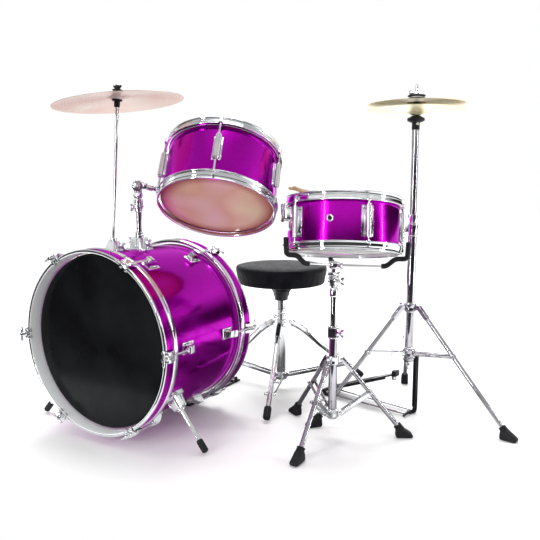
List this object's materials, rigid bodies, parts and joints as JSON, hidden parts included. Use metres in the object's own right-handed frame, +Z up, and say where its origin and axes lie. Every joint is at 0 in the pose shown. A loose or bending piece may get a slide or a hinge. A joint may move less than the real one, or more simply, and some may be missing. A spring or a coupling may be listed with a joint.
{
  "type": "acoustic drum kit",
  "caption": "Junior acoustic drum kit: bass drum with tom and crash cymbal on it, snare drum on a stand, hi-hats, bass pedal and round throne.",
  "frame": {"origin": "on the floor, at the centre of the whole kit's bounding box footprint", "axes": "+X to the right as seen from the front, towards the hi-hat; +Y from the bass drum's front head to its rear; +Z up"},
  "size_m": [1.1123, 0.8412, 0.837],
  "materials": {
    "wrap": "glossy metallic magenta wrap",
    "chrome": "bright chrome plate",
    "black_head": "glossy black film",
    "clear_head": "translucent film",
    "bronze": "lathed, lacquered",
    "vinyl": "fine-grained black vinyl",
    "black_metal": "satin black",
    "rubber": "matte black",
    "steel_wire": "bright drawn wire",
    "felt": "white felt",
    "wood": "clear lacquer"
  },
  "bodies": {
    "kit_base": {"bass_shell": "wrap", "bass_front_hoop": "wrap", "bass_rear_hoop": "wrap", "bass_front_head": "black_head", "bass_batter_head": "clear_head", "snare_stand_tube": "chrome", "hihat_tube": "chrome", "pedal_frame": "black_metal"},
    "spur_left": {"spur_left": "chrome"},
    "spur_right": {"spur_right": "chrome"},
    "tom_post": {"tom_post": "chrome"},
    "tom_elbow": {"tom_elbow": "chrome"},
    "tom_arm": {"tom_arm": "chrome"},
    "tom": {"tom_shell": "wrap", "tom_batter_hoop": "chrome", "tom_resonant_hoop": "chrome", "tom_batter_head": "clear_head", "tom_resonant_head": "clear_head"},
    "crash_rod": {"crash_rod": "chrome"},
    "crash_cymbal": {"crash_cymbal": "bronze"},
    "snare_upper_tube": {"snare_stand_upper_tube": "chrome"},
    "snare_basket": {"snare_basket": "chrome"},
    "snare_drum": {"snare_shell": "wrap", "snare_batter_hoop": "chrome", "snare_side_hoop": "chrome", "snare_batter_head": "clear_head", "snare_side_head": "clear_head", "snare_wires": "steel_wire"},
    "strainer_lever": {"strainer_lever": "black_metal"},
    "hihat_upper_tube": {"hihat_upper_tube": "chrome", "hihat_bottom_cymbal": "bronze"},
    "hihat_pull_rod": {"hihat_pull_rod": "chrome", "hihat_top_cymbal": "bronze"},
    "hihat_footboard": {"hihat_footboard": "black_metal"},
    "throne_tube": {"throne_tube": "chrome"},
    "throne_collar": {"throne_collar": "chrome"},
    "throne_post": {"throne_post": "chrome"},
    "throne_seat": {"throne_seat": "vinyl"},
    "pedal_footboard": {"pedal_footboard": "chrome"},
    "pedal_beater": {"pedal_beater": "chrome"},
    "snare_stand_collar": {"snare_stand_collar": "chrome"},
    "hihat_collar": {"hihat_collar": "chrome"},
    "snare_stand_leg_1": {"snare_stand_leg_1": "chrome"},
    "snare_stand_brace_1": {"snare_stand_brace_1": "chrome"},
    "snare_stand_leg_2": {"snare_stand_leg_2": "chrome"},
    "snare_stand_brace_2": {"snare_stand_brace_2": "chrome"},
    "snare_stand_leg_3": {"snare_stand_leg_3": "chrome"},
    "snare_stand_brace_3": {"snare_stand_brace_3": "chrome"},
    "hihat_leg_1": {"hihat_leg_1": "chrome"},
    "hihat_brace_1": {"hihat_brace_1": "chrome"},
    "hihat_leg_2": {"hihat_leg_2": "chrome"},
    "hihat_brace_2": {"hihat_brace_2": "chrome"},
    "hihat_leg_3": {"hihat_leg_3": "chrome"},
    "hihat_brace_3": {"hihat_brace_3": "chrome"},
    "throne_leg_1": {"throne_leg_1": "chrome"},
    "throne_brace_1": {"throne_brace_1": "chrome"},
    "throne_leg_2": {"throne_leg_2": "chrome"},
    "throne_brace_2": {"throne_brace_2": "chrome"},
    "throne_leg_3": {"throne_leg_3": "chrome"},
    "throne_brace_3": {"throne_brace_3": "chrome"}
  },
  "joints": [
    {"name": "spur_left_slide", "type": "slide", "parent": "kit_base", "child": "spur_left", "axis": [0.6574, 0.0537, 0.7516], "range_m": [0, 0.045]},
    {"name": "spur_right_slide", "type": "slide", "parent": "kit_base", "child": "spur_right", "axis": [-0.6574, 0.0537, 0.7516], "range_m": [0, 0.045]},
    {"name": "tom_height", "type": "slide", "parent": "kit_base", "child": "tom_post", "axis": [0, 0, 1], "range_m": [-0.02, 0.04]},
    {"name": "tom_swivel", "type": "hinge", "parent": "tom_post", "child": "tom_elbow", "pos_m": [-0.291, -0.2284, 0.56], "axis": [0, 0, 1], "range_deg": [-18, 0]},
    {"name": "tom_arm_tilt", "type": "hinge", "parent": "tom_elbow", "child": "tom_arm", "pos_m": [-0.291, -0.2284, 0.59], "axis": [-0.4478, 0.8941, 0], "range_deg": [-8, 3]},
    {"name": "tom_roll", "type": "hinge", "parent": "tom_arm", "child": "tom", "pos_m": [-0.22693, -0.19631, 0.5753], "axis": [0.8759, 0.4387, -0.2009], "range_deg": [-15, 3]},
    {"name": "crash_height", "type": "slide", "parent": "kit_base", "child": "crash_rod", "axis": [0.0374, 0.0409, 0.9985], "range_m": [-0.02, 0.08]},
    {"name": "crash_rock", "type": "hinge", "parent": "crash_rod", "child": "crash_cymbal", "pos_m": [-0.30974, -0.26971, 0.80708], "axis": [0.342, -0.9397, 0], "range_deg": [-6, 6], "stiffness_Nm_per_rad": 1},
    {"name": "snare_height", "type": "slide", "parent": "kit_base", "child": "snare_upper_tube", "axis": [0, 0, 1], "range_m": [-0.06, 0.015]},
    {"name": "basket_tilt", "type": "hinge", "parent": "snare_upper_tube", "child": "snare_basket", "pos_m": [0.1665, -0.0859, 0.375], "axis": [1, 0, 0], "range_deg": [-6, 6]},
    {"name": "snare_lift", "type": "slide", "parent": "snare_basket", "child": "snare_drum", "axis": [-0.0694, 0.1685, 0.9833], "range_m": [0, 0.035]},
    {"name": "strainer_throw", "type": "hinge", "parent": "snare_drum", "child": "strainer_lever", "pos_m": [0.07916, -0.16661, 0.51451], "axis": [-0.6922, -0.7179, 0.0741], "range_deg": [-80, 0]},
    {"name": "hihat_height", "type": "slide", "parent": "kit_base", "child": "hihat_upper_tube", "axis": [0, 0, 1], "range_m": [0, 0.02]},
    {"name": "hihat_pull", "type": "slide", "parent": "hihat_upper_tube", "child": "hihat_pull_rod", "axis": [0, 0, 1], "range_m": [-0.011, 0], "stiffness_N_per_m": 600, "springref_m": 0.022},
    {"name": "hihat_press", "type": "hinge", "parent": "kit_base", "child": "hihat_footboard", "pos_m": [0.03092, 0.20006, 0.016], "axis": [0.2079, 0.9781, 0], "range_deg": [0, 4]},
    {"name": "snare_stand_fold", "type": "slide", "parent": "kit_base", "child": "snare_stand_collar", "axis": [0, 0, 1], "range_m": [0, 0.038]},
    {"name": "snare_stand_leg_1_hinge", "type": "hinge", "parent": "snare_stand_collar", "child": "snare_stand_leg_1", "pos_m": [0.18749, -0.07426, 0.188], "axis": [-0.4848, 0.8746, 0], "range_deg": [0, 16.94]},
    {"name": "snare_stand_brace_1_hinge", "type": "hinge", "parent": "kit_base", "child": "snare_stand_brace_1", "pos_m": [0.18487, -0.07572, 0.06], "axis": [-0.4848, 0.8746, 0], "range_deg": [-23.66, 0]},
    {"name": "snare_stand_leg_2_hinge", "type": "hinge", "parent": "snare_stand_collar", "child": "snare_stand_leg_2", "pos_m": [0.14593, -0.07354, 0.188], "axis": [-0.515, -0.8572, 0], "range_deg": [0, 16.94]},
    {"name": "snare_stand_brace_2_hinge", "type": "hinge", "parent": "kit_base", "child": "snare_stand_brace_2", "pos_m": [0.1485, -0.07508, 0.06], "axis": [-0.515, -0.8572, 0], "range_deg": [-23.66, 0]},
    {"name": "snare_stand_leg_3_hinge", "type": "hinge", "parent": "snare_stand_collar", "child": "snare_stand_leg_3", "pos_m": [0.16608, -0.1099, 0.188], "axis": [0.9998, -0.0175, 0], "range_deg": [0, 16.94]},
    {"name": "snare_stand_brace_3_hinge", "type": "hinge", "parent": "kit_base", "child": "snare_stand_brace_3", "pos_m": [0.16613, -0.1069, 0.06], "axis": [0.9998, -0.0175, 0], "range_deg": [-23.66, 0]},
    {"name": "hihat_fold", "type": "slide", "parent": "kit_base", "child": "hihat_collar", "axis": [0, 0, 1], "range_m": [0, 0.1171]},
    {"name": "hihat_leg_1_hinge", "type": "hinge", "parent": "hihat_collar", "child": "hihat_leg_1", "pos_m": [0.29907, 0.14381, 0.284], "axis": [0.1805, 0.9836, 0], "range_deg": [0, 31.98]},
    {"name": "hihat_brace_1_hinge", "type": "hinge", "parent": "kit_base", "child": "hihat_brace_1", "pos_m": [0.29514, 0.14453, 0.165], "axis": [0.1805, 0.9836, 0], "range_deg": [-68.05, 0]},
    {"name": "hihat_leg_2_hinge", "type": "hinge", "parent": "hihat_collar", "child": "hihat_leg_2", "pos_m": [0.26478, 0.17299, 0.284], "axis": [-0.9421, -0.3355, 0], "range_deg": [0, 31.98]},
    {"name": "hihat_brace_2_hinge", "type": "hinge", "parent": "kit_base", "child": "hihat_brace_2", "pos_m": [0.26612, 0.16922, 0.165], "axis": [-0.9421, -0.3355, 0], "range_deg": [-68.05, 0]},
    {"name": "hihat_leg_3_hinge", "type": "hinge", "parent": "hihat_collar", "child": "hihat_leg_3", "pos_m": [0.25665, 0.1287, 0.284], "axis": [0.7615, -0.6481, 0], "range_deg": [0, 31.98]},
    {"name": "hihat_brace_3_hinge", "type": "hinge", "parent": "kit_base", "child": "hihat_brace_3", "pos_m": [0.25924, 0.13175, 0.165], "axis": [0.7615, -0.6481, 0], "range_deg": [-68.05, 0]},
    {"name": "throne_fold", "type": "slide", "parent": "kit_base", "child": "throne_tube", "axis": [0, 0, 1], "range_m": [0, 0.10449]},
    {"name": "throne_collar_slide", "type": "slide", "parent": "throne_tube", "child": "throne_collar", "axis": [0, 0, 1], "range_m": [0, 0.10904]},
    {"name": "throne_leg_1_hinge", "type": "hinge", "parent": "throne_tube", "child": "throne_leg_1", "pos_m": [-0.09905, 0.13167, 0.199], "axis": [0.9311, 0.3649, 0], "range_deg": [0, 35.73]},
    {"name": "throne_brace_1_hinge", "type": "hinge", "parent": "throne_collar", "child": "throne_brace_1", "pos_m": [-0.10124, 0.13725, 0.042], "axis": [0.9311, 0.3649, 0], "range_deg": [0, 72.2]},
    {"name": "throne_leg_2_hinge", "type": "hinge", "parent": "throne_tube", "child": "throne_leg_2", "pos_m": [-0.09128, 0.18305, 0.199], "axis": [-0.7815, 0.6239, 0], "range_deg": [0, 35.73]},
    {"name": "throne_brace_2_hinge", "type": "hinge", "parent": "throne_collar", "child": "throne_brace_2", "pos_m": [-0.09503, 0.17836, 0.042], "axis": [-0.7815, 0.6239, 0], "range_deg": [0, 72.2]},
    {"name": "throne_leg_3_hinge", "type": "hinge", "parent": "throne_tube", "child": "throne_leg_3", "pos_m": [-0.13966, 0.16409, 0.199], "axis": [-0.1495, -0.9888, 0], "range_deg": [0, 35.73]},
    {"name": "throne_brace_3_hinge", "type": "hinge", "parent": "throne_collar", "child": "throne_brace_3", "pos_m": [-0.13373, 0.16319, 0.042], "axis": [-0.1495, -0.9888, 0], "range_deg": [0, 72.2]},
    {"name": "throne_height", "type": "slide", "parent": "throne_tube", "child": "throne_post", "axis": [0, 0, 1], "range_m": [-0.02, 0.08]},
    {"name": "seat_swivel", "type": "hinge", "parent": "throne_post", "child": "throne_seat", "pos_m": [-0.11, 0.1596, 0.314], "axis": [0, 0, 1], "continuous": true},
    {"name": "pedal_press", "type": "hinge", "parent": "kit_base", "child": "pedal_footboard", "pos_m": [-0.291, 0.1426, 0.014], "axis": [1, 0, 0], "range_deg": [0, 12], "stiffness_Nm_per_rad": 2, "springref_deg": -28.65},
    {"name": "pedal_beater_swing", "type": "hinge", "parent": "kit_base", "child": "pedal_beater", "pos_m": [-0.291, -0.0454, 0.188], "axis": [1, 0, 0], "range_deg": [0, 45]}
  ],
  "couplings": [
    {"joint": "hihat_press", "follows": "hihat_pull", "rad_per_m": -4.8077},
    {"joint": "snare_stand_leg_1_hinge", "follows": "snare_stand_fold", "rad_per_m": 7.7742},
    {"joint": "snare_stand_brace_1_hinge", "follows": "snare_stand_fold", "rad_per_m": -10.863},
    {"joint": "snare_stand_leg_2_hinge", "follows": "snare_stand_fold", "rad_per_m": 7.7742},
    {"joint": "snare_stand_brace_2_hinge", "follows": "snare_stand_fold", "rad_per_m": -10.863},
    {"joint": "snare_stand_leg_3_hinge", "follows": "snare_stand_fold", "rad_per_m": 7.7742},
    {"joint": "snare_stand_brace_3_hinge", "follows": "snare_stand_fold", "rad_per_m": -10.863},
    {"joint": "hihat_leg_1_hinge", "follows": "hihat_fold", "rad_per_m": 4.7657},
    {"joint": "hihat_brace_1_hinge", "follows": "hihat_fold", "rad_per_m": -10.14},
    {"joint": "hihat_leg_2_hinge", "follows": "hihat_fold", "rad_per_m": 4.7657},
    {"joint": "hihat_brace_2_hinge", "follows": "hihat_fold", "rad_per_m": -10.14},
    {"joint": "hihat_leg_3_hinge", "follows": "hihat_fold", "rad_per_m": 4.7657},
    {"joint": "hihat_brace_3_hinge", "follows": "hihat_fold", "rad_per_m": -10.14},
    {"joint": "throne_collar_slide", "follows": "throne_fold", "ratio": 1.0434},
    {"joint": "throne_leg_1_hinge", "follows": "throne_fold", "rad_per_m": 5.9666},
    {"joint": "throne_brace_1_hinge", "follows": "throne_fold", "rad_per_m": 12.059},
    {"joint": "throne_leg_2_hinge", "follows": "throne_fold", "rad_per_m": 5.9666},
    {"joint": "throne_brace_2_hinge", "follows": "throne_fold", "rad_per_m": 12.059},
    {"joint": "throne_leg_3_hinge", "follows": "throne_fold", "rad_per_m": 5.9666},
    {"joint": "throne_brace_3_hinge", "follows": "throne_fold", "rad_per_m": 12.059},
    {"joint": "pedal_beater_swing", "follows": "pedal_press", "ratio": 3.75}
  ]
}
